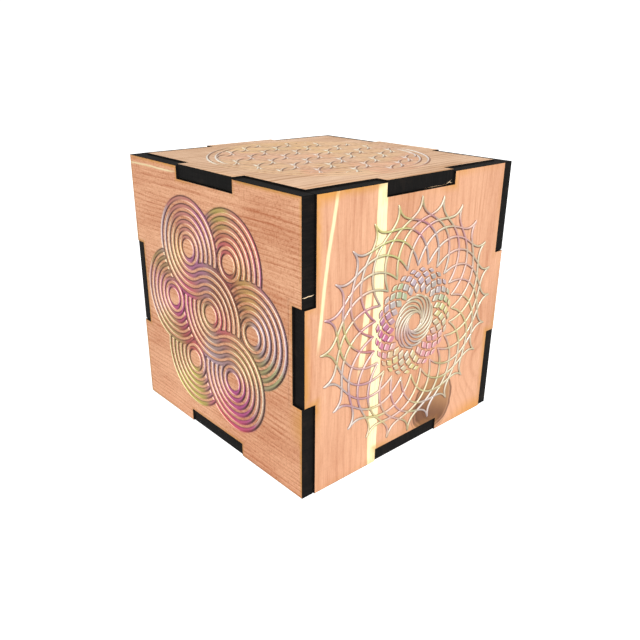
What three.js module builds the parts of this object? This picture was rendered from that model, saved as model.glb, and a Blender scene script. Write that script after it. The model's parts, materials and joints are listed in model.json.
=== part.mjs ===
// A laser-cut cedar puzzle box: five finger-jointed walls, a lift-off lid, and a hidden pin lock.
// Millimetres, +Z up. The origin is the centre of the footprint, at the height of the box's underside.
//
// The left and right walls own every corner. The front and back walls reach them with one tab each at
// mid height, and the lid and the base drop one tab into the middle notch of each wall.
// Under the lid hangs a plug of three plates. Steel pins slide between the plug and four wall pockets.

import * as THREE from "three";

// Driving dimensions.
const SPAN = 133.35; // finger end to finger end, 5 1/4 in
const BOARD = 6.35; // thickness of every board, 1/4 in
const REVEAL = 0.7; // how far a board's face stands proud of its neighbours' finger ends
const GAP = 0.3; // kerf and glue line between two boards

const PIN_DIAMETER = 6;
const PIN_LENGTH = 16;
const PIN_TRAVEL = 8; // how far a pin slides out of its pocket into the plug
const PIN_BEVEL = 0.6;
const PIN_SIDES = 24;
const CHANNEL_WIDTH = 6.6;
const PIN_END_PLAY = 0.3;

const POCKET_WIDTH = 38.1; // along the wall, 1 1/2 in
const POCKET_DEPTH = 19.05; // away from the wall, 3/4 in
const PLUG_PLAY = 1; // between the plug and the pockets

// Derived dimensions.
const THIRD = SPAN / 3;
const EDGE = SPAN / 2; // where finger ends stop
const FACE = EDGE + REVEAL; // outer face of a wall
const INSIDE = FACE - BOARD - GAP; // reach of whatever fits between two walls
const TOP = SPAN + REVEAL; // outer face of the lid
const SIDE_NOTCH = BOARD - REVEAL + GAP; // depth of a notch that takes a proud board's tab
const BASE_NOTCH = BOARD + GAP; // depth of a notch that takes the flush base's tab
const TAB = THIRD - 2 * GAP;

const LAYER = BOARD + GAP; // step from one layer of the lock to the next
const CAP_BOTTOM = TOP - BOARD - LAYER;
const CHANNEL_BOTTOM = CAP_BOTTOM - LAYER;
const COVER_BOTTOM = CHANNEL_BOTTOM - LAYER;
const POCKET_MOUTH = INSIDE - POCKET_DEPTH; // distance of a pocket's open end from the middle
const PLUG_HALF = POCKET_MOUTH - PLUG_PLAY;
const PIN_START = POCKET_MOUTH + PIN_END_PLAY; // inner end of a pin that is wholly in its pocket
const POCKET_CHANNEL_END = PIN_START + PIN_LENGTH + PIN_END_PLAY;
const PLUG_CHANNEL_END = PIN_START - PIN_TRAVEL - PIN_END_PLAY;
const PIN_HEIGHT = CHANNEL_BOTTOM + BOARD / 2;

const CEDAR = {
  left: 0xc08a63,
  right: 0xbd8660,
  front: 0xdfae8c,
  back: 0xd9a583,
  lid: 0xcf9c74,
  base: 0xc9966e,
  lock: 0xc79a72,
};
const STEEL = 0xb8babd;

// The four sides, each as a turn about +Z that carries the front side (-Y) onto it.
const SIDES = {
  front: 0,
  right: Math.PI / 2,
  back: Math.PI,
  left: -Math.PI / 2,
};

const box = new THREE.Group();

function cedar(color) {
  return new THREE.MeshStandardMaterial({ color, roughness: 0.62, metalness: 0 });
}

function steel() {
  return new THREE.MeshStandardMaterial({ color: STEEL, roughness: 0.3, metalness: 1 });
}

function outline(points) {
  return new THREE.Shape(points.map(([x, y]) => new THREE.Vector2(x, y)));
}

// Cuts a board of the usual thickness from an outline. It fills z = 0 to BOARD.
function cutBoard(points) {
  return new THREE.ExtrudeGeometry(outline(points), { depth: BOARD, bevelEnabled: false });
}

function addPiece(name, geometry, material, parent) {
  const piece = new THREE.Mesh(geometry, material);
  piece.name = name;
  parent.add(piece);
  return piece;
}

// A group turned so that what is built on the front side ends up on the named side.
function sideGroup(side) {
  const group = new THREE.Group();
  group.rotation.z = SIDES[side];
  box.add(group);
  return group;
}

// Stands a board up so that its outer face is the plane y = -FACE and its outline reads from outside.
function standAtFace(piece) {
  piece.rotation.x = Math.PI / 2;
  piece.position.y = BOARD - FACE;
}

// A wall that owns its corners: a full square with a notch in the middle of each edge.
function cornerWallOutline() {
  const notch = THIRD / 2;
  const low = THIRD;
  const high = 2 * THIRD;
  return [
    [-EDGE, 0],
    [-notch, 0],
    [-notch, BASE_NOTCH],
    [notch, BASE_NOTCH],
    [notch, 0],
    [EDGE, 0],
    [EDGE, low],
    [EDGE - SIDE_NOTCH, low],
    [EDGE - SIDE_NOTCH, high],
    [EDGE, high],
    [EDGE, SPAN],
    [notch, SPAN],
    [notch, SPAN - SIDE_NOTCH],
    [-notch, SPAN - SIDE_NOTCH],
    [-notch, SPAN],
    [-EDGE, SPAN],
    [-EDGE, high],
    [SIDE_NOTCH - EDGE, high],
    [SIDE_NOTCH - EDGE, low],
    [-EDGE, low],
  ];
}

// A wall that fits between the corner walls: notched above and below, with a tab at each side.
function tabbedWallOutline() {
  const notch = THIRD / 2;
  const low = THIRD + GAP;
  const high = 2 * THIRD - GAP;
  return [
    [-INSIDE, 0],
    [-notch, 0],
    [-notch, BASE_NOTCH],
    [notch, BASE_NOTCH],
    [notch, 0],
    [INSIDE, 0],
    [INSIDE, low],
    [EDGE, low],
    [EDGE, high],
    [INSIDE, high],
    [INSIDE, SPAN],
    [notch, SPAN],
    [notch, SPAN - SIDE_NOTCH],
    [-notch, SPAN - SIDE_NOTCH],
    [-notch, SPAN],
    [-INSIDE, SPAN],
    [-INSIDE, high],
    [-EDGE, high],
    [-EDGE, low],
    [-INSIDE, low],
  ];
}

// Turns one side's points about the middle into the closed outline of a four-sided board.
function fourSided(sidePoints) {
  const points = [];
  for (let quarter = 0; quarter < 4; quarter += 1) {
    const angle = (quarter * Math.PI) / 2;
    const cos = Math.round(Math.cos(angle));
    const sin = Math.round(Math.sin(angle));
    for (const [x, y] of sidePoints) {
      points.push([x * cos - y * sin, x * sin + y * cos]);
    }
  }
  return points;
}

// The lid and the base: a square with a tab in the middle of each edge.
function tabbedSquareOutline() {
  return fourSided([
    [-INSIDE, -INSIDE],
    [-TAB / 2, -INSIDE],
    [-TAB / 2, -EDGE],
    [TAB / 2, -EDGE],
    [TAB / 2, -INSIDE],
  ]);
}

// A solid plate of the plug.
function plugPlateOutline() {
  return fourSided([[-PLUG_HALF, -PLUG_HALF]]);
}

// The plug's middle plate, with one pin channel open at each side.
function plugChannelOutline() {
  return fourSided([
    [-PLUG_HALF, -PLUG_HALF],
    [-CHANNEL_WIDTH / 2, -PLUG_HALF],
    [-CHANNEL_WIDTH / 2, -PLUG_CHANNEL_END],
    [CHANNEL_WIDTH / 2, -PLUG_CHANNEL_END],
    [CHANNEL_WIDTH / 2, -PLUG_HALF],
  ]);
}

// A solid piece of a wall pocket, on the front side.
function pocketPlateOutline() {
  const half = POCKET_WIDTH / 2;
  return [
    [-half, -INSIDE],
    [half, -INSIDE],
    [half, -POCKET_MOUTH],
    [-half, -POCKET_MOUTH],
  ];
}

// The pocket's middle piece, with the pin channel open towards the plug.
function pocketChannelOutline() {
  const half = POCKET_WIDTH / 2;
  const channel = CHANNEL_WIDTH / 2;
  return [
    [-half, -INSIDE],
    [half, -INSIDE],
    [half, -POCKET_MOUTH],
    [channel, -POCKET_MOUTH],
    [channel, -POCKET_CHANNEL_END],
    [-channel, -POCKET_CHANNEL_END],
    [-channel, -POCKET_MOUTH],
    [-half, -POCKET_MOUTH],
  ];
}

// A steel dowel pin lying along +Y from y = 0, with bevelled ends.
function pinGeometry() {
  const radius = PIN_DIAMETER / 2;
  const profile = [
    [0, 0],
    [radius - PIN_BEVEL, 0],
    [radius, PIN_BEVEL],
    [radius, PIN_LENGTH - PIN_BEVEL],
    [radius - PIN_BEVEL, PIN_LENGTH],
    [0, PIN_LENGTH],
  ].map(([r, y]) => new THREE.Vector2(r, y));
  return new THREE.LatheGeometry(profile, PIN_SIDES);
}

function addWall(side, points) {
  const wall = addPiece(`${side}_panel`, cutBoard(points), cedar(CEDAR[side]), sideGroup(side));
  standAtFace(wall);
}

function addFlatBoard(name, points, bottom, color) {
  addPiece(name, cutBoard(points), cedar(color), box).position.z = bottom;
}

function addPocket(side) {
  const group = sideGroup(side);
  const layers = {
    cap: [pocketPlateOutline(), CAP_BOTTOM],
    channel: [pocketChannelOutline(), CHANNEL_BOTTOM],
    cover: [pocketPlateOutline(), COVER_BOTTOM],
  };
  for (const [layer, [points, bottom]] of Object.entries(layers)) {
    const name = `pocket_${layer}_${side}`;
    addPiece(name, cutBoard(points), cedar(CEDAR.lock), group).position.z = bottom;
  }
}

// Each pin is stored wholly inside its wall pocket, which is the unlocked place.
function addPin(side) {
  const pin = addPiece(`lock_pin_${side}`, pinGeometry(), steel(), sideGroup(side));
  pin.position.set(0, -PIN_START - PIN_LENGTH, PIN_HEIGHT);
}

for (const side of ["left", "right"]) {
  addWall(side, cornerWallOutline());
}
for (const side of ["front", "back"]) {
  addWall(side, tabbedWallOutline());
}
addFlatBoard("base_panel", tabbedSquareOutline(), 0, CEDAR.base);
addFlatBoard("lid_panel", tabbedSquareOutline(), TOP - BOARD, CEDAR.lid);

addFlatBoard("plug_top_plate", plugPlateOutline(), CAP_BOTTOM, CEDAR.lock);
addFlatBoard("plug_channel_plate", plugChannelOutline(), CHANNEL_BOTTOM, CEDAR.lock);
addFlatBoard("plug_bottom_plate", plugPlateOutline(), COVER_BOTTOM, CEDAR.lock);

for (const side of Object.keys(SIDES)) {
  addPocket(side);
  addPin(side);
}

export default box;
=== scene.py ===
"""Looks of a laser-cut cedar puzzle box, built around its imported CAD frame.

Every wooden piece is rebuilt from its CAD outline as a board with charred sides and scorched rims. The left
and right boards carry grooves cut in rings, the front and back boards a raised rosette, and the lid a raised
lattice of circles. Each board is modelled in its own plane, in millimetres: u to the right and v up as seen
from outside, w outwards from its outer face.
"""

import json
import math
from itertools import groupby

import bpy
import numpy as np
from mathutils import Matrix, Vector
from mathutils.geometry import tessellate_polygon


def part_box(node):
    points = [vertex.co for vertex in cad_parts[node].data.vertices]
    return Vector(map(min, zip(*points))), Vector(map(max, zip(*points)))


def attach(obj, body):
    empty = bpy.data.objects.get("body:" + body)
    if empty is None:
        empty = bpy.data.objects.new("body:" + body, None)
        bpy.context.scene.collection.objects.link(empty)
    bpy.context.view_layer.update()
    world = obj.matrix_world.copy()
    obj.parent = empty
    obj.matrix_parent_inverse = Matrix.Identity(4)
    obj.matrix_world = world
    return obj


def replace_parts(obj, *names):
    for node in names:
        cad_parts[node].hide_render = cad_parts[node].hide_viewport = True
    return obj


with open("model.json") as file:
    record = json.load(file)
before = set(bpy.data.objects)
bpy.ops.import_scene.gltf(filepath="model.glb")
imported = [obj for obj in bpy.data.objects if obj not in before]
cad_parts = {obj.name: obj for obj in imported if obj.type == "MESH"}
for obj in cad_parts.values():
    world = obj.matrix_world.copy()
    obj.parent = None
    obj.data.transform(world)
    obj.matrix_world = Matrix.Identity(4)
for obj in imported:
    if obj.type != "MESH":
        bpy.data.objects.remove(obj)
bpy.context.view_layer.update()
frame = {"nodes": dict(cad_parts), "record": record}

NODE_BODY = {n: body for body, nodes in frame["record"]["behaviour"]["bodies"].items() for n in nodes}

MM = 0.001

# What each board's outer face looks like from outside: its right and its up direction.
RIGHT, UP = Vector((1, 0, 0)), Vector((0, 0, 1))
FACING = {
    "front_panel": (RIGHT, UP),
    "right_panel": (Vector((0, 1, 0)), UP),
    "back_panel": (-RIGHT, UP),
    "left_panel": (Vector((0, -1, 0)), UP),
    "lid_panel": (RIGHT, Vector((0, 1, 0))),
    "base_panel": (RIGHT, Vector((0, -1, 0))),
}
FLAT_LYING = FACING["lid_panel"]

# Board finish, in millimetres.
EDGE_ROUND = 0.16
FACE_PLAY = 0.05  # CAD points this close to a board's outer face lie on it
SCORCH_REACH = 2.4
WIDE_SCORCH_REACH = 5.0  # on boards with nothing carved next to their notches
SMALL_SCORCH_REACH = 0.7  # on the small plates of the lock
SINK = 0.12  # how deep raised relief is rooted in its board
UNCARVED = -9.0  # the groove value of wood that no groove is near

# Ring pattern, in millimetres.
RING_FIRST = 5.6
RING_PITCH = 3.65
RING_COUNT = 6
GROOVE_WIDTH = 2.2
GROOVE_WALL = 0.25
GROOVE_DEPTH = 0.52
RIDGE_CROWN = 0.1  # how much a ridge's top falls off towards its rims
CROWN_REACH = 0.8
RING_STEP = 2 * RING_FIRST + RING_COUNT * RING_PITCH
RING_LAST = RING_FIRST + (RING_COUNT - 1) * RING_PITCH
RING_PATCH = (58.3, 54.2)  # half width and half height of the area the rings are cut in
FIELD_PITCH = 0.33

# Rosette, in millimetres and degrees.
PETALS = 24
PETAL_STEP = 360 / PETALS
ARM_HANDLES = [(0, 58.5), (0, 43.1), (24, 55.5), (45, 27.2)]  # (degrees, radius), from an arm's tip inwards
TILE_ROWS = [  # (radius, half steps off, width around, depth outwards)
    (25.0, 1, 4.6, 2.3),
    (22.8, 0, 4.9, 3.3),
    (19.9, 1, 4.6, 4.6),
    (16.5, 0, 3.9, 5.7),
]
TILE_BEVEL = 0.5
TILE_HEIGHT = 0.9
TILE_BLUNTED = 0.12  # how much of each side its cut corners take
SWIRL_ARCS = 12
SWIRL_RADIUS = 8.7
SWIRL_OFFSET = 4.15
WEB_RIDGE = (1.05, 0.95)  # width and height
SWIRL_RIDGE = (1.1, 0.9)

# Circle lattice, in millimetres.
LATTICE_RADIUS = 16.6
LATTICE_RIMS = [50.1, 54.2]
LATTICE_RIDGE = (1.8, 0.26)

# Lock pins, in millimetres. An end's bevel, from its flat: (in from the pin's side, back from the end).
PIN_END = [(0.6, 0.0), (0.18, 0.25), (0.0, 0.75)]
PIN_END_MIDDLE = 0.35  # the radius of the ring in the middle of the flat
PIN_SIDES = 48

SPAN = 0.13335  # metres, from one end of a board to the other

SURROUND = 0.35  # what the white surround lights the object with
KEY_STRENGTH = 4.2
KEY_SPREAD = 10  # degrees
KEY_TOWARDS = Vector((-0.42, -0.8, 0.7))
FLOOR_TONE = 0.55
FLOOR_GLOW = 0.85  # the floor is lit from below as well, as a light table is, so shadows on it stay pale
FLOOR_REACH = 60 * SPAN
FLOOR_DROP = 0.0002  # metres below the box's foot
SEEN_SURROUND = 1.1  # how bright the surround looks to the camera

# Camera: where it stands, in spans of the box from the middle of its foot, and how it looks.
CAMERA_PLACE = Vector((-1.665, -1.8685, 1.368))
CAMERA_LOOKS = Vector((0.61939, 0.68844, -0.37736))
CAMERA_ROLL = 0.6
CAMERA_LENS = 37.2


def linear(hex_colour):
    """A '#rrggbb' colour as linear red, green and blue."""
    parts = [int(hex_colour[i : i + 2], 16) / 255 for i in (1, 3, 5)]
    return tuple(c / 12.92 if c <= 0.04045 else ((c + 0.055) / 1.055) ** 2.4 for c in parts)


def rgba(hex_colour):
    return (*linear(hex_colour), 1.0)


# ------------ planes and meshes


def board_frame(node, facing):
    """The matrix that takes a board's own (u, v, w), in metres, to the row frame."""
    low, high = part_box(node)
    right, up = facing
    out = right.cross(up)
    middle = (low + high) / 2
    reach = max(out.dot(low), out.dot(high))
    origin = middle + out * (reach - out.dot(middle))
    matrix = Matrix((right, up, out)).transposed().to_4x4()
    matrix.translation = origin
    return matrix


def face_outline(node, matrix):
    """The outline of a board's outer face, counter-clockwise, in (u, v) and without points on straights."""
    mesh = frame["nodes"][node].data
    mesh.calc_loop_triangles()
    inverse = matrix.inverted()
    local = [inverse @ v.co / MM for v in mesh.vertices]
    edges = set()
    for triangle in mesh.loop_triangles:
        corners = [local[i] for i in triangle.vertices]
        if min(c.z for c in corners) < -FACE_PLAY:
            continue
        keys = [(round(c.x, 2), round(c.y, 2)) for c in corners]
        for a, b in zip(keys, keys[1:] + keys[:1]):
            if (b, a) in edges:
                edges.remove((b, a))
            else:
                edges.add((a, b))
    follows = dict(edges)
    start = min(follows)
    loop = [start]
    while follows[loop[-1]] != start:
        loop.append(follows[loop[-1]])
    points = [Vector(p) for p in loop]
    count = len(points)
    return [
        points[i]
        for i in range(count)
        if abs((points[i] - points[i - 1]).cross(points[(i + 1) % count] - points[i])) > 1e-3
    ]


def inset(outline, distance):
    """The outline moved inwards. Corners are square, so a point moves along both of its edges' normals."""
    count = len(outline)
    moved = []
    for i, point in enumerate(outline):
        before = (point - outline[i - 1]).normalized()
        after = (outline[(i + 1) % count] - point).normalized()
        normals = Vector((-before.y, before.x)) + Vector((-after.y, after.x))
        moved.append(point + normals * distance)
    return moved


class MeshParts:
    """Collects points, faces and point values of one mesh, in millimetres."""

    def __init__(self):
        self.points = []
        self.faces = []
        self.materials = []
        self.values = {}

    def add_points(self, points, **values):
        first = len(self.points)
        self.points.extend(tuple(p) for p in points)
        for name, value in values.items():
            stored = self.values.setdefault(name, {})
            for offset in range(len(points)):
                stored[first + offset] = value[offset] if hasattr(value, "__len__") else value
        return list(range(first, len(self.points)))

    def add_face(self, corners, material=0):
        self.faces.append(tuple(corners))
        self.materials.append(material)

    def bridge(self, lower, upper, material=0):
        """Joins two loops of as many points. Counter-clockwise ones with upper inside or above face out."""
        count = len(lower)
        for i in range(count):
            j = (i + 1) % count
            self.add_face((lower[i], lower[j], upper[j], upper[i]), material)

    def cap(self, loops, facing_up, material=0):
        """Fills the first loop less the others."""
        flat = [[Vector((*self.points[i][:2], 0)) for i in loop] for loop in loops]
        names = [i for loop in loops for i in loop]
        for triangle in tessellate_polygon(flat):
            a, b, c = (names[i] for i in triangle)
            pa, pb, pc = (Vector(self.points[i][:2]) for i in (a, b, c))
            if ((pb - pa).cross(pc - pa) > 0) != facing_up:
                b, c = c, b
            self.add_face((a, b, c), material)

    def build(self, name, matrix, materials, node, crease, slot=None):
        """Makes the Blender object, in place and riding on its node's body. The crease is in degrees."""
        mesh = bpy.data.meshes.new(name)
        mesh.from_pydata((np.array(self.points) * MM).tolist(), [], self.faces)
        for material in materials:
            mesh.materials.append(material)
        mesh.polygons.foreach_set("material_index", self.materials)
        for value_name, stored in self.values.items():
            is_colour = hasattr(next(iter(stored.values())), "__len__")
            kind, field, width = ("FLOAT_COLOR", "color", 4) if is_colour else ("FLOAT", "value", 1)
            data = np.zeros((len(self.points), width), np.float32)
            for index, value in stored.items():
                data[index] = value
            mesh.attributes.new(value_name, kind, "POINT").data.foreach_set(field, data.ravel())
        mesh.validate()
        piece = bpy.data.objects.new(name, mesh)
        bpy.context.scene.collection.objects.link(piece)
        piece.matrix_world = matrix
        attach(piece, NODE_BODY[node])
        mesh.shade_smooth()
        mesh.set_sharp_from_angle(angle=math.radians(crease))
        return piece


# ------------ node materials

# A toasted brown: the relief's painted shade at its foot and on flanks facing away, and the darker part of the
# tint beside the rings.
TOAST_AND_SHADE = "#6a3f2a"
RELIEF_LIGHT_FROM = (-0.75, 0.66, 0)  # in a board's own frame: flanks facing its upper left get a painted highlight, flanks facing away get painted shade
GROOVE_LIGHT_FROM = (0.9, 0.44)  # groove walls that face this way get a painted highlight; beside walls that face away, the grooves get painted shade

# How much a surface faces the light direction above where its painted highlight begins and where it is full,
# and the same for the painted shade on surfaces facing away.
BEAD_LIGHT_REACH = ((0.45, 0.7), (-0.1, -0.5))
GROUND_BEAD_LIGHT_REACH = ((0.8, 0.93), (-0.84, -0.95))


class Nodes:
    """One material's node tree, with short ways to add its nodes.

    An input is a socket or a constant. A colour may be a '#rrggbb'.
    """

    def __init__(self, name):
        self.material = bpy.data.materials.new(name)
        self.material.use_nodes = True
        self.tree = self.material.node_tree
        self.shader = next(n for n in self.tree.nodes if n.type == "BSDF_PRINCIPLED")

    def put(self, socket, value):
        if isinstance(value, bpy.types.NodeSocket):
            self.tree.links.new(value, socket)
        elif value is not None:
            socket.default_value = rgba(value) if isinstance(value, str) else value

    def node(self, kind, inputs=(), **settings):
        made = self.tree.nodes.new(kind)
        for key, value in settings.items():
            setattr(made, key, value)
        for key, value in dict(inputs).items():
            self.put(made.inputs[key], value)
        return made

    def math(self, operation, a, b=None, c=None, clamp=False):
        made = self.node("ShaderNodeMath", operation=operation, use_clamp=clamp)
        for socket, value in zip(made.inputs, (a, b, c)):
            self.put(socket, value)
        return made.outputs[0]

    def add(self, a, b):
        return self.math("ADD", a, b)

    def times(self, a, b, plus=None):
        """a times b, plus a third value if one is given."""
        return self.math("MULTIPLY" if plus is None else "MULTIPLY_ADD", a, b, plus)

    def smooth(self, value, low, high):
        """0 at low, 1 at high, smooth between them. low may be the greater one."""
        inputs = {"Value": value, "From Min": low, "From Max": high}
        return self.node("ShaderNodeMapRange", inputs, interpolation_type="SMOOTHSTEP").outputs["Result"]

    def scaled(self, vector, scale, shift=(0, 0, 0)):
        """The vector times scale, plus shift, each axis by itself."""
        inputs = {0: vector, 1: tuple(scale), 2: tuple(shift)}
        return self.node("ShaderNodeVectorMath", inputs, operation="MULTIPLY_ADD").outputs[0]

    def length(self, vector):
        return self.node("ShaderNodeVectorMath", {0: vector}, operation="LENGTH").outputs["Value"]

    def dot(self, a, b):
        return self.node("ShaderNodeVectorMath", {0: a, 1: b}, operation="DOT_PRODUCT").outputs["Value"]

    def off_ellipse(self, place, u, v, radius_u, radius_v):
        """The way to a place from an ellipse's middle, in its radii. Its length is 1 on the ellipse."""
        return self.scaled(place, (1 / radius_u, 1 / radius_v, 0), (-u / radius_u, -v / radius_v, 0))

    def noise(self, place, scale, shift=(0, 0, 0), detail=2.0, roughness=0.5):
        """Noise from 0 to 1, with its own scale and shift on each axis."""
        inputs = {"Vector": self.scaled(place, scale, shift), "Scale": 1.0, "Detail": detail}
        return self.node("ShaderNodeTexNoise", {**inputs, "Roughness": roughness}).outputs["Fac"]

    def swing(self, reach, *placed, detail=2.0):
        """Noise that goes about half of reach to either side of 0."""
        return self.times(self.add(self.noise(*placed, detail=detail), -0.5), reach)

    def mix(self, factor, a, b):
        return self.node("ShaderNodeMix", {0: factor, 6: a, 7: b}, data_type="RGBA").outputs[2]

    def ramp(self, value, stops):
        """A colour ramp through (place, grey) stops."""
        made = self.node("ShaderNodeValToRGB", {"Fac": value})
        elements = made.color_ramp.elements
        while len(elements) < len(stops):
            elements.new(0.5)
        for element, (place, grey) in zip(elements, stops):
            element.position = place
            element.color = (grey, grey, grey, 1)
        return made.outputs["Color"]

    def own_millimetres(self):
        """The point's place in its piece's own frame, in millimetres."""
        place = self.node("ShaderNodeTexCoord").outputs["Object"]
        return self.scaled(place, (1 / MM,) * 3)

    def own_normal(self):
        return self.node("ShaderNodeTexCoord").outputs["Normal"]

    def sloping_towards(self, direction):
        """1 where the surface falls away straight towards a direction, -1 where it rises, 0 where it is level."""
        level = self.scaled(self.own_normal(), (1, 1, 0))
        bearing = self.node("ShaderNodeVectorMath", {0: level}, operation="NORMALIZE").outputs["Vector"]
        return self.times(self.dot(bearing, direction), self.smooth(self.length(level), 0.02, 0.09))

    def attribute(self, name, output="Fac"):
        return self.node("ShaderNodeAttribute", attribute_name=name).outputs[output]

    def bump(self, height, distance_mm, strength):
        inputs = {"Height": height, "Distance": distance_mm * MM, "Strength": strength}
        return self.node("ShaderNodeBump", inputs).outputs["Normal"]

    def finish(self, colour, roughness, normal=None, metallic=0.0, specular=0.5, coat=0.0):
        inputs = {"Base Color": colour, "Roughness": roughness, "Normal": normal, "Metallic": metallic}
        inputs.update({"Specular IOR Level": specular, "Coat Weight": coat})
        for key, value in inputs.items():
            self.put(self.shader.inputs[key], value)
        return self.material


def grain_axes(n, place, grain_degrees):
    """The place's distance along the grain and across it, and the whole place turned that way."""
    split = n.node("ShaderNodeSeparateXYZ", {0: place}).outputs
    angle = math.radians(grain_degrees)
    cos, sin = math.cos(angle), math.sin(angle)
    along = n.add(n.times(split[0], cos), n.times(split[1], sin))
    across = n.add(n.times(split[0], sin), n.times(split[1], -cos))
    grain = n.node("ShaderNodeCombineXYZ", {0: along, 1: across, 2: split[2]}).outputs[0]
    return along, across, grain


def bend_around_knots(n, place, seed, knots, bent):
    """Pushes the growth rings aside. Returns them and, for each dark knot, its masks and its shaded side."""
    marks = []
    for ku, kv, ru, rv, push, strength in knots:
        away = n.off_ellipse(place, ku, kv, ru, rv)
        ragged = n.add(n.length(away), n.swing(0.35, place, (0.07,) * 3, (seed, ku, 0)))
        swell = n.math("EXPONENT", n.times(n.times(ragged, ragged), -0.8))
        bent = n.add(bent, n.times(swell, push))
        if strength:
            low_side = n.dot(away, (-0.45, -0.9, 0))
            mask = n.times(n.smooth(ragged, 1.06, 0.86), n.smooth(low_side, -1.25, -0.6))
            height_in_knot = n.node("ShaderNodeSeparateXYZ", {0: away}).outputs[1]
            rim = n.smooth(n.math("ABSOLUTE", n.add(ragged, -1.0)), 0.07, 0.02)
            rim = n.times(rim, n.smooth(height_in_knot, 0.85, 0.55))
            within = n.smooth(n.math("SINE", n.times(ragged, 24.0)), 0.5, 1.0)
            arcs = n.times(n.times(within, n.smooth(ragged, 1.25, 1.1)), n.smooth(low_side, 0.2, 0.7))
            core = n.math("MAXIMUM", rim, n.times(arcs, 0.6))
            marks.append((n.times(mask, strength), n.times(core, strength), low_side))
    return bent, marks


def add_sapwood(n, colour, streaks, axes, fibre, seed):
    along, across, grain = axes
    for centre, half, lean, bow, start, end, strength in streaks:
        line = n.add(n.times(along, lean), centre)
        line = n.add(line, n.times(n.times(along, along), bow))
        wobble = n.swing(1.6, grain, (0.05, 0.02, 0), (seed, centre, 0), detail=3.0)
        away = n.math("ABSOLUTE", n.add(n.math("SUBTRACT", across, line), wobble))
        mask = n.times(n.smooth(away, half + 0.45, half - 0.35), strength)
        mask = n.times(mask, n.smooth(along, start - 7, start + 7))
        mask = n.times(mask, n.smooth(along, end + 7, end - 7))
        sap = n.mix(n.smooth(fibre, 0.4, 0.7), "#fff2c4", "#f4dc9c")
        colour = n.mix(mask, colour, sap)
    return colour


def add_knots(n, colour, marks, cloud):
    for mask, core, low_side in marks:
        depth = n.smooth(n.add(low_side, n.times(cloud, 0.6)), -0.2, 0.75)
        colour = n.mix(n.times(mask, 0.88), colour, n.mix(depth, "#a1754c", "#5c3519"))
        colour = n.mix(n.times(core, 0.7), colour, "#4d2f1c")
    return colour


def add_scorch(n, colour, place, seed, singed, singes, fibre):
    """The brown rim next to each laser cut, and the singes."""
    breath = n.add(n.noise(place, (0.3,) * 3, (seed, 9, 0), detail=3.0), 0.45)
    patchy = n.smooth(n.noise(place, (0.022,) * 3, (seed, 4, 0), detail=1.0), 0.35, 0.6)
    mask = n.smooth(n.times(n.attribute("scorch"), breath), 0.1, 1.1)
    mask = n.times(mask, n.times(patchy, 0.8, plus=0.2))
    colour = n.mix(n.times(mask, singed), colour, "#c48a38")
    for su, sv, ru, rv, strength in singes:
        away = n.length(n.off_ellipse(place, su, sv, ru, rv))
        mask = n.smooth(n.add(away, n.times(n.add(fibre, -0.5), 0.6)), 1.0, 0.1)
        colour = n.mix(n.times(mask, strength), colour, "#cf9040")
    return colour


def add_ring_paint(n, colour, place):
    """Paint in the carved rings, with a painted highlight on walls facing the light and painted shade in the
    grooves beside walls facing away, and tinted wood beside them. Also returns the paint's mask.
    """
    groove = n.attribute("groove")
    pearly = n.mix(0.2, pearl_colour(n, place), "#bd683a")
    tint = n.smooth(groove, -0.8, -0.15)
    colour = n.mix(n.times(tint, 0.4), colour, n.mix(0.35, pearly, TOAST_AND_SHADE))
    floor = n.smooth(groove, 0.3 * GROOVE_WALL, 0.8 * GROOVE_WALL)
    # A painted highlight on groove walls that face the light.
    painted_wall_highlight = n.mix(n.times(n.smooth(n.attribute("facing"), 0.1, 0.7), 0.64), pearly, "#fdeecb")
    painted = n.mix(floor, painted_wall_highlight, pearly)
    # Painted shade in the grooves beside walls that face away from the light.
    painted = n.mix(n.times(n.attribute("soot_and_shade"), 0.94), painted, "#431a0e")
    mask = n.smooth(groove, -0.1, 0.02)
    return n.mix(mask, colour, painted), mask


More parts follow.
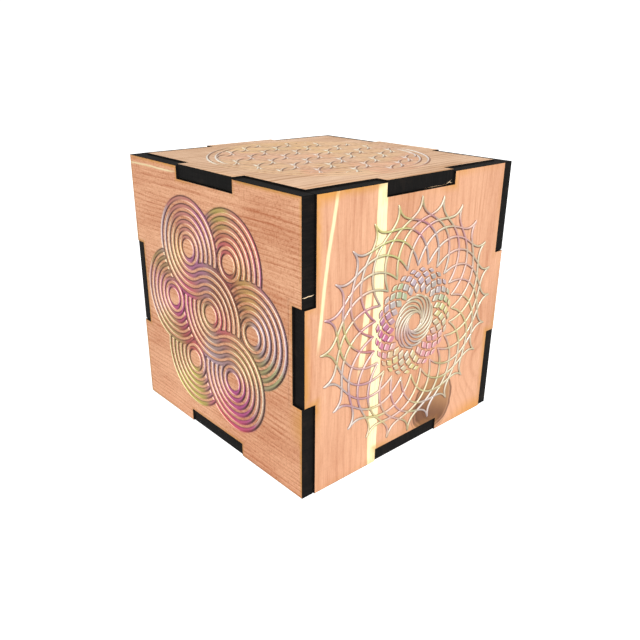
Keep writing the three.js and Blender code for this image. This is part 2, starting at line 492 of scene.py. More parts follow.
def cedar(name, seed, pale, dark, grain_degrees=0, spacing=2.1, contrast=0.9, fibres=0.5, wander=3.0,
          streaks=(), knots=(), singes=(), singed=0.25, speckled=0.1, painted=False):
    """Sanded aromatic cedar, with its grain at grain_degrees from u.

    streaks are pale sapwood: (across, half width, lean, bow, from, to, strength).
    knots are (u, v, radius u, radius v, how far they push the rings aside, darkening).
    singes are browned by the laser's heat: (u, v, radius u, radius v, strength).
    """
    n = Nodes(name)
    place = n.own_millimetres()
    along, across, grain = grain_axes(n, place, grain_degrees)
    slow = n.swing(wander * 2, grain, (0.016, 0.03, 0.03), (seed, 0, 0), detail=1.5)
    bent, knot_marks = bend_around_knots(n, place, seed, knots, n.add(across, slow))

    crowd = n.noise(grain, (0.004, 0.055, 0.01), (0, seed, 0), detail=1.0)
    phase = n.times(n.add(bent, n.times(crowd, 9.0)), 1 / spacing)
    ring = n.math("FRACT", phase)
    late = n.ramp(ring, ((0.0, 0.5), (0.08, 0.0), (0.6, 0.08), (0.9, 1.0), (1.0, 0.5)))
    ring_noise = n.noise(grain, (0.014, 0.12, 0.05), (seed, seed, 0))
    ring_strength = n.smooth(ring_noise, 0.25, 0.7)
    fibre = n.noise(grain, (0.07, 3.4, 3.4), (seed, 0, seed), detail=4.0, roughness=0.65)
    fleck = n.noise(grain, (0.22, 7.5, 7.5), (0, seed, seed), roughness=0.6)
    cloud = n.noise(grain, (0.014, 0.05, 0.03), (seed, 3, 3), detail=3.0)
    pores = n.noise(place, (0.9, 0.7, 0.9), (seed, 7, 0), detail=3.0, roughness=0.7)

    shade = n.times(n.times(late, ring_strength), contrast)
    shade = n.add(shade, n.times(n.smooth(fibre, 0.36, 0.66), fibres))
    shade = n.add(shade, n.times(n.smooth(cloud, 0.35, 0.75), 0.35))
    shade = n.math("MULTIPLY_ADD", n.smooth(fleck, 0.56, 0.7), 0.22, shade, clamp=True)
    shade = n.math("MULTIPLY_ADD", n.smooth(pores, 0.46, 0.68), speckled, shade, clamp=True)
    colour = n.mix(shade, pale, dark)
    colour = add_sapwood(n, colour, streaks, (along, across, grain), fibre, seed)
    colour = add_knots(n, colour, knot_marks, cloud)
    colour = add_scorch(n, colour, place, seed, singed, singes, fibre)

    rough = n.times(fibre, 0.2, plus=0.46)
    height = n.add(n.times(fibre, 0.6), n.times(late, 0.25))
    if painted:
        colour, mask = add_ring_paint(n, colour, place)
        rough = n.times(mask, n.math("SUBTRACT", 0.48, rough), plus=rough)
        height = n.times(height, n.math("SUBTRACT", 1.0, n.times(mask, 0.75)))
    return n.finish(colour, rough, n.bump(height, 0.06, 0.55), specular=0.42)


def pearl_colour(n, place):
    """Colour-shift paint: the sprayed colour, drifting with the slope of the surface and with a fine mica."""
    slope = n.node("ShaderNodeNewGeometry").outputs["Normal"]
    tilt = n.dot(slope, (0.5, -0.35, 0.7))
    drift = n.swing(0.08, place, (0.07,) * 3)
    hue = n.add(n.add(n.times(tilt, 0.03), drift), 0.5)
    sprayed = n.attribute("pearl", "Color")
    turned = n.node("ShaderNodeHueSaturation", {"Hue": hue, "Color": sprayed}).outputs[0]
    mica = n.smooth(n.noise(place, (7.0,) * 3, detail=1.0), 0.45, 0.8)
    return n.mix(n.times(mica, 0.22), turned, "#f2e8dc")


def pearl(name, gloss, foot_shade, lee_shade, glint, ground=None):
    """The raised relief's paint, with painted shade at its foot, a painted highlight on flanks facing the light
    and painted shade on flanks facing away.

    With a ground, the ground's colour shows through most of the paint, and the painted highlight and shade keep
    to flanks that face almost straight towards the light or away from it.
    """
    n = Nodes(name)
    place = n.own_millimetres()
    grainy = n.noise(place, (2.5,) * 3, detail=3.0)
    # Painted shade towards the bead's foot, darkest where it meets the board.
    shaded_foot = n.times(n.smooth(n.add(n.attribute("rise"), n.times(grainy, 0.3)), 0.85, 0.25), foot_shade)
    pearly = pearl_colour(n, place)
    if ground:
        faced = n.sloping_towards(RELIEF_LIGHT_FROM)
        highlight_reach, shade_reach = GROUND_BEAD_LIGHT_REACH
        base_paint = n.mix(0.85, pearly, ground)
    else:
        faced = n.dot(n.own_normal(), RELIEF_LIGHT_FROM)
        highlight_reach, shade_reach = BEAD_LIGHT_REACH
        base_paint = pearly
    # A painted highlight on flanks facing the light, and painted shade on flanks facing away and at the foot.
    painted_highlight = n.mix(0.8, pearly, "#fff8e8")
    sprayed = n.mix(n.times(n.smooth(faced, *highlight_reach), glint), base_paint, painted_highlight)
    painted_shade = n.math("MAXIMUM", shaded_foot, n.times(n.smooth(faced, *shade_reach), lee_shade))
    colour = n.mix(painted_shade, sprayed, TOAST_AND_SHADE)
    rough = n.times(grainy, 0.16, plus=0.42 - 0.2 * gloss)
    return n.finish(colour, rough, n.bump(grainy, 0.05, 0.35), coat=gloss)


def charred(name, seed):
    """A laser-cut edge: matt soot with the cut's fine ribs across the board and dusty brown patches."""
    n = Nodes(name)
    place = n.own_millimetres()
    ribs = n.noise(place, (2.6, 2.6, 0.12), (seed, 0, 0), detail=3.0)
    layers = n.noise(place, (0.05, 0.05, 1.6), (0, seed, 0))
    dust = n.smooth(n.noise(place, (0.12,) * 3, (seed, seed, 0), detail=4.0), 0.52, 0.85)
    colour = n.mix(n.smooth(ribs, 0.35, 0.75), "#080706", "#151210")
    colour = n.mix(n.times(dust, 0.5), colour, "#352a22")
    rough = n.times(layers, 0.2, plus=0.5)
    height = n.add(n.times(ribs, 0.7), n.times(layers, 0.5))
    return n.finish(colour, rough, n.bump(height, 0.12, 0.8), specular=0.14)


def ground_steel(name):
    """Centreless-ground dowel steel: fine rings around the pin and a few handling scratches."""
    n = Nodes(name)
    place = n.own_millimetres()
    rings = n.noise(place, (0.4, 0.4, 18.0), detail=3.0)
    smears = n.noise(place, (0.5,) * 3, detail=4.0)
    colour = n.mix(smears, "#d3d4d6", "#a4a6aa")
    rough = n.times(smears, 0.22, plus=0.2)
    return n.finish(colour, rough, n.bump(rings, 0.02, 0.5), metallic=1.0)


# ------------ boards


def rim_loops(parts, outline, thickness, reach):
    """The rounded rim of a board. Returns the loops that bound its outer and its inner face."""
    quarter = [math.radians(a) for a in (90, 60, 30, 0)]
    rounding = [(EDGE_ROUND * (1 - math.cos(a)), EDGE_ROUND * (1 - math.sin(a))) for a in quarter]
    steps = [(EDGE_ROUND + reach, 0.0, 0.0)]
    steps += [(away, -drop, 1.0) for away, drop in rounding]
    steps += [(away, drop - thickness, 1.0) for away, drop in reversed(rounding)]
    steps += [(EDGE_ROUND + reach, -thickness, 0.0)]
    loops = []
    for away, depth, scorch in steps:
        points = [(*p, depth) for p in inset(outline, away)]
        loops.append(parts.add_points(points, scorch=scorch, groove=UNCARVED))
    last = len(loops) - 2
    for i in range(len(loops) - 1):
        parts.bridge(loops[i + 1], loops[i], material=0 if i in (0, last) else 1)
    return loops[0], loops[-1]


def add_board(node, facing, materials, face_field=None, reach=SCORCH_REACH):
    """Stands in for a CAD board. face_field adds a carved area to the outer face and returns its border."""
    matrix = board_frame(node, facing)
    low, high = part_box(node)
    thickness = abs((high - low).dot(facing[0].cross(facing[1]))) / MM
    outline = face_outline(node, matrix)
    parts = MeshParts()
    outer, inner = rim_loops(parts, outline, thickness, reach)
    holes = [face_field(parts)] if face_field else []
    parts.cap([outer, *holes], facing_up=True)
    parts.cap([inner], facing_up=False)
    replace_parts(parts.build(f"{node}_board", matrix, materials, node, 40), node)


def spray(points, patches, spread):
    """The paint at each (u, v): a soft blend of the patches (u, v, colour) around it."""
    places = np.array([p[:2] for p in patches], float)
    colours = np.array([linear(p[2]) for p in patches])
    away = ((points[:, None, :] - places[None, :, :]) ** 2).sum(2)
    away -= away.min(1, keepdims=True)
    weight = np.exp(-away / (2 * spread**2))
    mixed = weight @ colours / weight.sum(1, keepdims=True)
    return np.concatenate([mixed, np.ones((len(points), 1))], 1)


# ------------ ring pattern


# Seven ring sets: one in the middle and six around it, counter-clockwise.
RINGS = {"middle": np.zeros(2)}
for place, name in enumerate(["right", "top_right", "top_left", "left", "bottom_left", "bottom_right"]):
    angle = math.radians(60 * place)
    RINGS[name] = RING_STEP * np.array([math.cos(angle), math.sin(angle)])
RING_CHAIN = ["top_left", "middle", "bottom_right"]  # these three run into each other


def inside_groove(radius):
    """How far inside a groove a point at that radius of a ring set is. Below zero on a ridge."""
    step = np.clip(np.round((radius - RING_FIRST) / RING_PITCH), 0, RING_COUNT - 1)
    return GROOVE_WIDTH / 2 - np.abs(radius - RING_FIRST - step * RING_PITCH)


def ring_layers(points):
    """How far inside its own grooves each ring set has a point, cut back where a set above it lies.

    There its ridges end at the upper set's last groove. Along the chain, the upper set's rings go on left of
    the line between two centres, and the lower set's right of it.
    """
    radius = {name: np.linalg.norm(points - c, axis=1) for name, c in RINGS.items()}
    beyond = {name: r - RING_LAST for name, r in radius.items()}
    layers = {name: inside_groove(radius[name]) for name in RINGS}
    for upper, lower in zip(RING_CHAIN, RING_CHAIN[1:]):
        along = RINGS[lower] - RINGS[upper]
        away = points - RINGS[upper]
        left = along[0] * away[:, 1] - along[1] * away[:, 0] < 0
        layers[upper] = np.where(left, layers[upper], np.minimum(layers[upper], beyond[lower]))
        layers[lower] = np.where(left, np.minimum(layers[lower], beyond[upper]), layers[lower])
    above = list(RING_CHAIN)
    for name in ("left", "right", "bottom_left", "top_right"):
        for cover in above:
            layers[name] = np.minimum(layers[name], beyond[cover])
        above.append(name)
    return layers


def ring_field(points):
    return np.max(list(ring_layers(points).values()), axis=0)


def ring_slope(points):
    """Which way the ring field rises at each point: away from the nearest groove wall, into the groove."""
    step = 0.02
    rises = [ring_field(points + d) - ring_field(points - d) for d in ([step, 0], [0, step])]
    return np.stack(rises, axis=1) / (2 * step)


def settle_on_edges(points):
    """Moves grid points that are close to a groove's rim or to the foot of its wall onto it."""
    here = ring_field(points)
    slope = ring_slope(points)
    steady = np.abs(np.linalg.norm(slope, axis=1) - 1) < 0.15
    for level in (0.0, GROOVE_WALL):
        miss = here - level
        near = steady & (np.abs(miss) < 0.45 * FIELD_PITCH)
        points = np.where(near[:, None], points - slope * miss[:, None], points)
    return points


def grid_triangles(rows, columns, field):
    """Two triangles for each grid cell, cut along the diagonal that crosses fewer rims and feet of walls."""
    corner = (np.arange(rows - 1)[:, None] * columns + np.arange(columns - 1)[None, :]).ravel()
    a, b, c, d = corner, corner + 1, corner + columns + 1, corner + columns

    def crossings(*triangle):
        values = np.stack([field[t] for t in triangle])
        return sum(
            np.minimum(np.clip(values.max(0) - level, 0, None), np.clip(level - values.min(0), 0, None))
            for level in (0.0, GROOVE_WALL)
        )

    one_way = crossings(a, b, c) + crossings(a, c, d)
    other_way = crossings(a, b, d) + crossings(b, c, d)
    first_cut = (one_way <= other_way)[:, None]
    lower = np.where(first_cut, np.stack([a, b, c], 1), np.stack([a, b, d], 1))
    upper = np.where(first_cut, np.stack([a, c, d], 1), np.stack([b, c, d], 1))
    return np.concatenate([lower, upper])


def painted_shade_from_wall(away, slope):
    """How much painted shade a groove gets at a distance from a wall that faces away from the light, reaching
    further beside walls that face towards -u. The slope points from the wall into the groove.
    """
    reach = GROOVE_WALL + 0.28 + 1.12 * np.clip(-slope[:, 0], 0, 1)
    facing = slope @ np.array(GROOVE_LIGHT_FROM)
    return np.clip((reach - away) / 0.3, 0, 1) * np.clip(0.5 - facing / 0.7, 0, 1)


def carve_rings(parts, patches):
    """Adds the carved area of the ring pattern to a board. Returns its border, counter-clockwise."""
    half_u, half_v = RING_PATCH
    columns = int(2 * half_u / FIELD_PITCH)
    rows = int(2 * half_v / FIELD_PITCH)
    u, v = np.meshgrid(np.linspace(-half_u, half_u, columns), np.linspace(-half_v, half_v, rows))
    points = settle_on_edges(np.stack([u.ravel(), v.ravel()], axis=1))
    field = ring_field(points)
    share = np.clip(field / GROOVE_WALL, 0, 1)
    crown = np.clip(1 + field / CROWN_REACH, 0, 1) ** 2
    depth = -RIDGE_CROWN * crown - (GROOVE_DEPTH - RIDGE_CROWN) * share
    slope = ring_slope(points)
    # Painted light in the grooves: a highlight on walls facing the light, shade beside walls facing away.
    facing = slope @ np.array(GROOVE_LIGHT_FROM)
    soot_and_shade = np.maximum(painted_shade_from_wall(field, slope), painted_shade_from_wall(GROOVE_WIDTH - field, -slope))
    values = {"groove": field, "facing": facing, "soot_and_shade": soot_and_shade, "pearl": spray(points, patches, RING_SPREAD)}
    values = {name: value.tolist() for name, value in values.items()}
    first = parts.add_points(np.column_stack([points, depth]).tolist(), **values)[0]
    for triangle in (grid_triangles(rows, columns, field) + first).tolist():
        parts.add_face(triangle)
    grid = (first + np.arange(rows * columns)).reshape(rows, columns).tolist()
    right = [row[-1] for row in grid[1:-1]]
    left = [row[0] for row in grid[-2:0:-1]]
    return grid[0] + right + grid[-1][::-1] + left


# ------------ raised relief

# Cross-sections of a bead, as shares of its width and height.
ROUND_SECTION = [(-0.5, 0.0), (-0.44, 0.6), (-0.24, 0.93), (0.0, 1.0), (0.24, 0.93), (0.44, 0.6), (0.5, 0.0)]
SLOPING_SECTION = [(-0.5, 0.0), (-0.34, 0.5), (-0.14, 0.9), (0.0, 1.0), (0.14, 0.9), (0.34, 0.5), (0.5, 0.0)]


def add_ridge(parts, path, size, patches, closed=False, ends=(0.35, 0.35), section=ROUND_SECTION):
    """A bead along a (u, v) path. Its ends shrink to the given shares of its size."""
    path = np.array(path)
    count = len(path)
    ahead = np.roll(path, -1, axis=0) - np.roll(path, 1, axis=0)
    if not closed:
        ahead[0], ahead[-1] = path[1] - path[0], path[-1] - path[-2]
    ahead /= np.linalg.norm(ahead, axis=1, keepdims=True)
    side = np.column_stack([ahead[:, 1], -ahead[:, 0]])
    walked = np.concatenate([[0], np.cumsum(np.linalg.norm(np.diff(path, axis=0), axis=1))])
    fullness = np.ones(count)
    if not closed:
        reach = size[0] * 0.8
        for share, distance in ((ends[0], walked), (ends[1], walked[-1] - walked)):
            fullness *= share + (1 - share) * np.sqrt(np.clip(distance / reach, 0, 1))
    rows = []
    paint = spray(path, patches, RIDGE_SPREAD)
    rise = [height for away, height in section]
    for i in range(count):
        sized = [(away * size[0] * fullness[i], height * size[1] * fullness[i]) for away, height in section]
        sized = [(sized[0][0], -SINK), *sized[1:-1], (sized[-1][0], -SINK)]
        ring = [(*(path[i] + side[i] * away), height) for away, height in sized]
        rows.append(parts.add_points(ring, pearl=[paint[i].tolist()] * len(ring), rise=rise))
    width = len(section)
    for i in range(count if closed else count - 1):
        here, there = rows[i], rows[(i + 1) % count]
        for j in range(width):
            k = (j + 1) % width
            parts.add_face((here[k], here[j], there[j], there[k]))
    if not closed:
        parts.add_face(rows[0])
        parts.add_face(rows[-1][::-1])


def polar(degrees, radius):
    """A (u, v) point at a clock angle, clockwise from up."""
    angle = math.radians(degrees)
    return radius * math.sin(angle), radius * math.cos(angle)


def arm_path(turn, mirror, steps=44):
    """One arm of the rosette's web, from its tip to its foot."""
    path = []
    for i in range(steps + 1):
        t = i / steps
        weights = ((1 - t) ** 3, 3 * (1 - t) ** 2 * t, 3 * (1 - t) * t * t, t**3)
        degrees = sum(w * h[0] for w, h in zip(weights, ARM_HANDLES))
        radius = sum(w * h[1] for w, h in zip(weights, ARM_HANDLES))
        path.append(polar(turn + mirror * degrees, radius))
    return path


def swirl_path(turn, steps=30):
    """Half a circle around a centre off the middle, clockwise from its outermost point to its innermost."""
    centre = polar(turn, SWIRL_OFFSET)
    path = []
    for i in range(steps + 1):
        u, v = polar(turn + 180 * i / steps, SWIRL_RADIUS)
        path.append((centre[0] + u, centre[1] + v))
    return path


def add_tile(parts, turn, radius, width, depth, patches):
    """A bevelled diamond. Its corners are cut a little, as a finished relief's are."""
    tilt = math.radians(turn)
    outwards = np.array([math.sin(tilt), math.cos(tilt)])
    around = np.array([-outwards[1], outwards[0]])
    middle = radius * outwards
    corners = [(1, 0.0), (0.0, 1), (-1, 0.0), (0.0, -1)]
    blunt = []
    for i, corner in enumerate(corners):
        for other in (corners[i - 1], corners[(i + 1) % 4]):
            blunt.append(tuple(c + (o - c) * TILE_BLUNTED for c, o in zip(corner, other)))
    levels = [(0.0, -SINK, 0.0), (0.05, TILE_HEIGHT * 0.45, 0.3), (TILE_BEVEL, TILE_HEIGHT, 1.0)]
    paint = spray(np.array([middle]), patches, TILE_SPREAD)[0].tolist()
    rows = []
    for shrink, height, rise in levels:
        scale_around = max(width / 2 - shrink, 0.1)
        scale_out = max(depth / 2 - shrink * depth / width, 0.1)
        ring = [(*(middle + around * a * scale_around + outwards * b * scale_out), height) for a, b in blunt]
        rows.append(parts.add_points(ring, pearl=[paint] * len(ring), rise=rise))
    for lower, upper in zip(rows, rows[1:]):
        parts.bridge(lower[::-1], upper[::-1])
    parts.add_face(rows[-1][::-1])
    parts.add_face(rows[0])


def add_rosette(board, paint, turn_of_paint):
    """The raised flower: a web of crossing arms, rings of diamonds and a swirl."""
    patches = clock_patches(ROSETTE_SPRAY, turn_of_paint, RIDGE_GROUND)
    bold_patches = clock_patches(ROSETTE_SPRAY, turn_of_paint, TILE_GROUND)
    matrix = board_frame(board, FACING[board])
    web, tiles, swirl = MeshParts(), MeshParts(), MeshParts()
    for petal in range(PETALS):
        turn = petal * PETAL_STEP
        for mirror in (1, -1):
            add_ridge(web, arm_path(turn, mirror), WEB_RIDGE, patches, ends=(0.5, 0.7))
        for radius, half_steps, width, depth in TILE_ROWS:
            add_tile(tiles, turn + half_steps * PETAL_STEP / 2, radius, width, depth, bold_patches)
    for arc in range(SWIRL_ARCS):
        add_ridge(swirl, swirl_path(arc * 360 / SWIRL_ARCS), SWIRL_RIDGE, patches)
    for name, parts, crease in (("web", web, 70), ("tiles", tiles, 20), ("swirl", swirl, 70)):
        parts.build(f"{board}_rosette_{name}", matrix, [paint], board, crease, "pearl_paint")


def circle_path(centre, radius, limit=None, steps=96):
    """A circle's points, in runs that stay within the limit. A run that is the whole circle is closed."""
    angles = [2 * math.pi * i / steps for i in range(steps)]
    points = [(centre[0] + radius * math.cos(a), centre[1] + radius * math.sin(a)) for a in angles]
    kept = [limit is None or math.hypot(*p) <= limit for p in points]
    if all(kept):
        return [(points, True)]
    start = kept.index(False)
    in_order = list(zip(kept, points))
    in_order = in_order[start:] + in_order[:start]
    runs = [[point for kept, point in run] for within, run in groupby(in_order, lambda p: p[0]) if within]
    return [(run, False) for run in runs if len(run) > 3]


def lattice_centres():
    """Circle centres on a triangular lattice, as far out as a circle still reaches well into the rim."""
    centres = []
    for i in range(-7, 8):
        for j in range(-5, 6):
            u = LATTICE_RADIUS * j * math.sqrt(3) / 2
            v = LATTICE_RADIUS * (i + j / 2)
            if math.hypot(u, v) < LATTICE_RIMS[0] + 0.95 * LATTICE_RADIUS:
                centres.append((u, v))
    return centres


def add_lattice(board, paint):
    """The raised lattice of overlapping circles within two rims."""
    patches = clock_patches(LATTICE_SPRAY, 0, 0.0)
    circles, rims = MeshParts(), MeshParts()
    for centre in lattice_centres():
        for run, closed in circle_path(centre, LATTICE_RADIUS, LATTICE_RIMS[0]):
            add_ridge(circles, run, LATTICE_RIDGE, patches, closed, section=SLOPING_SECTION)
    for radius in LATTICE_RIMS:
        for run, closed in circle_path((0, 0), radius, steps=240):
            add_ridge(rims, run, LATTICE_RIDGE, patches, closed, section=SLOPING_SECTION)
    for name, parts in (("circles", circles), ("rims", rims)):
        parts.build(f"{board}_{name}", board_frame(board, FACING[board]), [paint], board, 70, "pearl_paint")


# ------------ paint

PURPLE, ORCHID, MAGENTA, PINK = "#a65893", "#aa3c92", "#b63c84", "#d18399"
ROSE, CRIMSON, WINE = "#c4605a", "#c83a58", "#8e4440"
BLUSH, GARNET, UMBER, OCHRE = "#c48678", "#a01c28", "#6a4535", "#c09c54"
LIME, OLIVE, MINT, GREY = "#b9b858", "#a09056", "#98b07c", "#98918a"
LILAC, CREAM, YELLOW, MAUVE = "#ac9ab0", "#bdae92", "#d0be78", "#a07f86"

# The rosettes were sprayed more thinly, over a stone-coloured ground that shows through by these shares.
GROUND = "#aa9c80"
RIDGE_GROUND = 0.5
TILE_GROUND = 0.2
BACK_TURN = 150  # degrees that the back rosette's paint is turned by

# How far the sprayed patches run into each other, in millimetres.
RING_SPREAD, RIDGE_SPREAD, TILE_SPREAD = 5.0, 4.0, 3.0

# Where the paint was sprayed. On each ring set: (clock degrees, radius, colour).
RING_SPRAY = {
    "top_left": [
        (0, 22, BLUSH), (45, 20, PURPLE), (90, 18, MAUVE), (270, 22, LILAC), (265, 12, OCHRE),
        (225, 20, OLIVE), (150, 9, PURPLE), (180, 17, ROSE), (0, 8, BLUSH),
    ],
    "top_right": [
        (340, 21, LIME), (20, 20, BLUSH), (60, 20, ROSE), (330, 8, ROSE), (90, 22, PURPLE),
        (200, 8, WINE), (120, 12, OCHRE),
    ],
    "right": [
        (0, 20, OCHRE), (45, 20, MAUVE), (90, 21, LILAC), (90, 8, LILAC), (145, 20, MINT),
        (200, 12, OLIVE), (270, 9, OLIVE),
    ],
    "left": [
        (330, 20, OLIVE), (40, 9, MAGENTA), (90, 10, MAGENTA), (130, 10, MAGENTA), (150, 19, GARNET),
        (200, 21, OLIVE), (260, 22, MAUVE), (280, 12, PINK),
    ],
    "middle": [
        (330, 18, MAUVE), (20, 20, UMBER), (60, 17, UMBER), (110, 12, CRIMSON), (95, 21, BLUSH),
        (170, 17, GREY), (235, 17, WINE), (270, 20, MAGENTA), (250, 9, OLIVE),
    ],
    "bottom_left": [
        (0, 8, ROSE), (290, 20, OLIVE), (270, 12, OLIVE), (180, 14, LIME), (190, 22, LIME),
        (120, 18, MAUVE),
    ],
    "bottom_right": [
        (0, 18, OLIVE), (330, 12, MAUVE), (60, 20, OLIVE), (90, 23, GREY), (120, 13, MAGENTA),
        (180, 14, MAGENTA), (170, 8, ORCHID), (240, 20, PINK), (280, 17, LILAC), (190, 23, CRIMSON),
        (215, 20, CRIMSON), (115, 23, CREAM), (150, 16, ORCHID), (160, 23, CRIMSON),
    ],
}

# On the rosette and the lattice: each colour's (clock degrees, radius) places.
ROSETTE_SPRAY = {
    OLIVE: [(0, 56), (150, 40), (182, 54), (268, 54)],
    MAGENTA: [(0, 46), (280, 34), (262, 32), (265, 21)],
    LILAC: [
        (10, 36), (165, 52), (225, 54), (250, 50), (310, 54), (350, 22), (305, 20), (55, 22), (15, 21),
        (200, 10),
    ],
    CREAM: [
        (22, 52), (58, 50), (80, 52), (100, 50), (118, 52), (130, 46), (140, 54), (318, 40), (200, 20),
        (105, 21), (0, 11), (60, 10), (120, 10), (290, 11),
    ],
    PINK: [
        (38, 48), (45, 55), (60, 38), (70, 32), (190, 44), (205, 36), (252, 38), (298, 44), (245, 21),
        (155, 21), (130, 21), (230, 11),
    ],
    YELLOW: [(92, 40), (110, 40), (170, 38), (212, 50), (225, 20), (180, 22), (85, 20)],
    PURPLE: [(235, 44), (288, 56), (285, 21)],
    LIME: [(275, 44), (330, 50), (335, 38), (345, 46)],
    MINT: [(320, 21), (70, 21)],
    GREY: [(35, 22)],
}

LATTICE_SPRAY = {
    PURPLE: [(304, 50), (298, 34), (297, 17), (125, 50)],
    LILAC: [(240, 19), (100, 50), (181, 16)],
    PINK: [(0, 2), (180, 33)],
    MAGENTA: [(221, 42), (141, 44), (165, 46), (177, 48)],
    CREAM: [
        (262, 42), (284, 43), (60, 30), (90, 28), (120, 16), (148, 28), (124, 33), (106, 42), (210, 50),
        (240, 50), (60, 50), (211, 30), (304, 54),
    ],
    YELLOW: [(343, 46), (29, 28), (60, 16)],
    MINT: [(359, 34)],
    GREY: [(354, 15)],
    OLIVE: [(20, 50)],
}


def ring_patches():
    patches = []
    for name, sprayed in RING_SPRAY.items():
        for degrees, radius, colour in sprayed:
            u, v = polar(degrees, radius)
            patches.append((RINGS[name][0] + u, RINGS[name][1] + v, colour))
    return patches


def thinned(colour, share):
    pairs = [(int(colour[i : i + 2], 16), int(GROUND[i : i + 2], 16)) for i in (1, 3, 5)]
    return "#" + "".join(f"{round(over * (1 - share) + under * share):02x}" for over, under in pairs)


def clock_patches(sprayed, turn, share):
    """The places as (u, v, colour), turned clockwise and with a share of the ground showing through."""
    return [
        (*polar(degrees + turn, radius), thinned(colour, share))
        for colour, places in sprayed.items()
        for degrees, radius in places
    ]


# ------------ the pieces

CEDARS = {
    "left_panel": dict(
        seed=3.0, pale="#ffc79d", dark="#ba6c42", spacing=2.3, contrast=0.42, fibres=0.45,
        wander=1.8, singed=0.9, speckled=0.32,
        streaks=[(-64.3, 0.35, -0.02, 0.0, -90, -24, 0.8)],
        singes=[(66, -30, 10, 16, 0.6)],
    ),
    "front_panel": dict(
        seed=11.0, grain_degrees=90, pale="#e2ae8b", dark="#ab6c4a", spacing=4.4, contrast=0.28, fibres=0.36,
        singed=0.8,
        streaks=[
            (-59.4, 0.8, 0.083, 0.00098, 5, 90, 0.85),
            (-24.7, 2.9, 0.0, 0.0, -80, 90, 1.0),
            (-32.6, 1.8, 0.1, 0.0, -14, 22, 0.9),
        ],
        knots=[
            (19, -49, 15, 16, 7, 1.0),
            (45, -38, 12, 15, 12, 0.0),
            (52, 24, 6, 26, 7, 0.0),
        ],
        singes=[(56, -67, 30, 11, 0.75), (-58, 66, 14, 6, 0.6)],
    ),
    "lid_panel": dict(seed=23.0, pale="#efcbab", dark="#b5865f", spacing=4.0),
    "right_panel": dict(seed=31.0, pale="#dfaa88", dark="#a5653f", spacing=2.2, singed=0.7),
    "back_panel": dict(seed=41.0, grain_degrees=90, pale="#d6a586", dark="#a56a48", spacing=3.0),
    "base_panel": dict(seed=53.0, pale="#d8a684", dark="#a0683f", spacing=3.6, singed=0.6),
}
LOCK_CEDAR = dict(seed=61.0, pale="#d8a684", dark="#a3653f", spacing=2.2, singed=0.6)


def add_outer_boards(soot_and_shade, paint):
    rings = ring_patches()
    for node, look in CEDARS.items():
        ringed = node in ("left_panel", "right_panel")
        wood = cedar(f"cedar_{node}", painted=ringed, **look)
        carve = (lambda parts: carve_rings(parts, rings)) if ringed else None
        add_board(node, FACING[node], [wood, soot_and_shade], carve, SCORCH_REACH if ringed else WIDE_SCORCH_REACH)
    for turn, node in enumerate(("front_panel", "back_panel")):
        add_rosette(node, paint, BACK_TURN * turn)
    fine_paint = pearl("pearl_paint_fine", gloss=0.15, foot_shade=0.0, lee_shade=0.7, glint=1.0, ground="#caa27c")
    add_lattice("lid_panel", fine_paint)


def add_chips(name, node, facing, bare_wood, lines):
    """Hair-fine lines on a board's charred end, where the soot has chipped off: (width, points)."""
    parts = MeshParts()
    for width, path in lines:
        add_ridge(parts, path, (width, 0.06), [(0, 0, CREAM)], ends=(0.1, 0.1))
    parts.build(name, board_frame(node, facing), [bare_wood], node, 70)


def add_wear(bare_wood):
    crack = [(0.34, [(-3.1, 27.1), (-1.6, 26.9), (0.2, 27.15), (1.7, 27.0), (3.1, 27.3)])]
    add_chips("left_panel_crack", "left_panel", FACING["front_panel"], bare_wood, crack)
    scratches = [
        (0.28, [(16.9, -2.9), (18.4, -2.3), (20.3, -1.3)]),
        (0.24, [(17.9, -2.2), (19.6, -2.5), (21.2, -2.9)]),
        (0.1, [(2.0, -3.02), (9.0, -2.98), (17.0, -3.02)]),
    ]
    add_chips("lid_panel_scratches", "lid_panel", FACING["front_panel"], bare_wood, scratches)


def add_lock(soot_and_shade, steel, wood):
    for node in sorted(NODE_BODY):
        if node.startswith(("plug_", "pocket_")):
            add_board(node, FLAT_LYING, [wood, soot_and_shade], reach=SMALL_SCORCH_REACH)
        elif node.startswith("lock_pin_"):
            add_pin(node, steel)


def add_pin(node, steel):
    """A dowel with a rounded bevel at each end, lying along whichever way its CAD pin does."""
    low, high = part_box(node)
    size = (high - low) / MM
    lengthwise = 0 if size.x > size.y else 1
    length, radius = size[lengthwise], size.z / 2
    profile = [(PIN_END_MIDDLE, -length / 2)]
    profile += [(radius - inwards, back - length / 2) for inwards, back in PIN_END]
    profile += [(r, -z) for r, z in reversed(profile)]
    angles = [2 * math.pi * i / PIN_SIDES for i in range(PIN_SIDES)]
    parts = MeshParts()
    rings = []
    for r, z in profile:
        rings.append(parts.add_points([(r * math.cos(a), r * math.sin(a), z) for a in angles]))
    for lower, upper in zip(rings, rings[1:]):
        parts.bridge(lower, upper)
    parts.add_face(rings[0][::-1])
    parts.add_face(rings[-1])
    lying = Matrix.Rotation(math.pi / 2, 4, "Y" if lengthwise == 0 else "X")
    matrix = Matrix.Translation((low + high) / 2) @ lying
    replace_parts(parts.build(f"{node}_dowel", matrix, [steel], node, 40), node)


# ------------ studio


def camera_only(tree, seen, otherwise):
    """A value that is one number for what the camera sees directly, and another for light."""
    ray = tree.nodes.new("ShaderNodeLightPath").outputs["Is Camera Ray"]
    mixed = tree.nodes.new("ShaderNodeMapRange")
    tree.links.new(ray, mixed.inputs["Value"])
    mixed.inputs["To Min"].default_value = otherwise
    mixed.inputs["To Max"].default_value = seen
    return mixed.outputs["Result"]


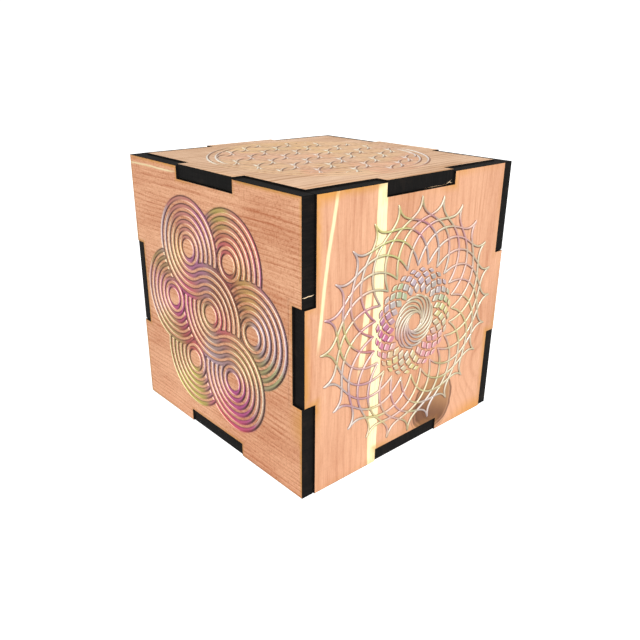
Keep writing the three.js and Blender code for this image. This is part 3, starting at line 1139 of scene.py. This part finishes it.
def add_studio():
    """A plain pale floor, an even white surround, and one soft light high on the camera's side."""
    floor_mesh = bpy.data.meshes.new("floor")
    corners = [(-1, -1), (1, -1), (1, 1), (-1, 1)]
    points = [(x * FLOOR_REACH, y * FLOOR_REACH, -FLOOR_DROP) for x, y in corners]
    floor_mesh.from_pydata(points, [], [(0, 1, 2, 3)])
    floor = bpy.data.objects.new("floor", floor_mesh)
    bpy.context.scene.collection.objects.link(floor)
    n = Nodes("pale_floor")
    n.put(n.shader.inputs["Emission Color"], (1, 1, 1, 1))
    n.put(n.shader.inputs["Emission Strength"], camera_only(n.tree, FLOOR_GLOW, 0.0))
    floor_mesh.materials.append(n.finish((FLOOR_TONE, FLOOR_TONE, FLOOR_TONE, 1), 0.9, specular=0.1))

    world = bpy.data.worlds.new("surround")
    world.use_nodes = True
    background = world.node_tree.nodes["Background"].inputs
    background["Color"].default_value = (1, 1, 1, 1)
    world.node_tree.links.new(camera_only(world.node_tree, SEEN_SURROUND, SURROUND), background["Strength"])
    bpy.context.scene.world = world

    lamp = bpy.data.lights.new("key", "SUN")
    lamp.energy = KEY_STRENGTH
    lamp.angle = math.radians(KEY_SPREAD)
    key = bpy.data.objects.new("key", lamp)
    bpy.context.scene.collection.objects.link(key)
    key.rotation_euler = (-KEY_TOWARDS).to_track_quat("-Z", "Y").to_euler()


def add_camera():
    lens = bpy.data.cameras.new("camera")
    lens.lens = CAMERA_LENS
    camera = bpy.data.objects.new("camera", lens)
    bpy.context.scene.collection.objects.link(camera)
    forward = CAMERA_LOOKS.normalized()
    right = forward.cross(UP).normalized()
    right = Matrix.Rotation(-math.radians(CAMERA_ROLL), 3, forward) @ right
    camera.matrix_world = Matrix((right, right.cross(forward), -forward)).transposed().to_4x4()
    camera.location = CAMERA_PLACE * SPAN
    bpy.context.scene.camera = camera
    bpy.context.scene.view_settings.view_transform = "Standard"


soot_and_shade = charred("charred_edge", 5.0)
paint = pearl("pearl_paint", gloss=0.3, foot_shade=1.0, lee_shade=0.95, glint=0.5)
add_outer_boards(soot_and_shade, paint)
lock_wood = cedar("cedar_lock", **LOCK_CEDAR)
add_lock(soot_and_shade, ground_steel("ground_steel"), lock_wood)
add_wear(cedar("cedar_chipped", seed=71.0, pale="#ffe6c0", dark="#e6be92"))
add_studio()
add_camera()
